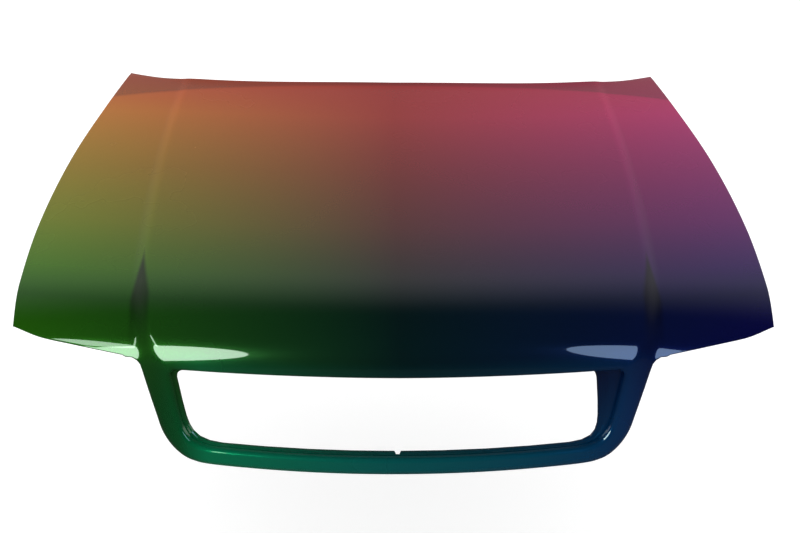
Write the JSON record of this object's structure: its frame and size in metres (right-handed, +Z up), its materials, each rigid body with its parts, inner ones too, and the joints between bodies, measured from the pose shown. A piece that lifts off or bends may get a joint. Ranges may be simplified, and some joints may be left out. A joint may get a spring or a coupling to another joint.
{
  "type": "car bonnet",
  "caption": "Sheet-steel car bonnet: outer skin folded over a pressed inner frame, with a wide grille opening in its nose and pads for hinges and latch.",
  "frame": {"origin": "middle of the hinge line, between the two hinge pads and level with their lower faces", "axes": "+Z up, +X across the car to the right of somebody who faces its front, front edge and grille towards -Y, as the closed bonnet sits on the car"},
  "size_m": [1.4944, 1.1198, 0.3775],
  "materials": {
    "paint_outer": "gloss paint that fades from copper and olive to magenta and navy",
    "paint_inner": "satin primer",
    "paint_surround": "satin paint",
    "zinc": "zinc plate",
    "mastic": "matt"
  },
  "bodies": {
    "root": {"grille_surround": "paint_surround", "hinge_nut_left_inner": "zinc", "hinge_nut_left_outer": "zinc", "hinge_nut_right_inner": "zinc", "hinge_nut_right_outer": "zinc", "hinge_plate_left": "zinc", "hinge_plate_right": "zinc", "inner_frame": "paint_inner", "latch_nut_left": "zinc", "latch_nut_right": "zinc", "latch_plate": "zinc", "mastic_dab_left_1": "mastic", "mastic_dab_left_2": "mastic", "mastic_dab_left_3": "mastic", "mastic_dab_left_4": "mastic", "mastic_dab_middle_1": "mastic", "mastic_dab_middle_2": "mastic", "mastic_dab_middle_3": "mastic", "mastic_dab_middle_4": "mastic", "mastic_dab_right_1": "mastic", "mastic_dab_right_2": "mastic", "mastic_dab_right_3": "mastic", "mastic_dab_right_4": "mastic", "outer_skin": "paint_outer", "rail_stiffener": "paint_inner"}
  },
  "joints": []
}
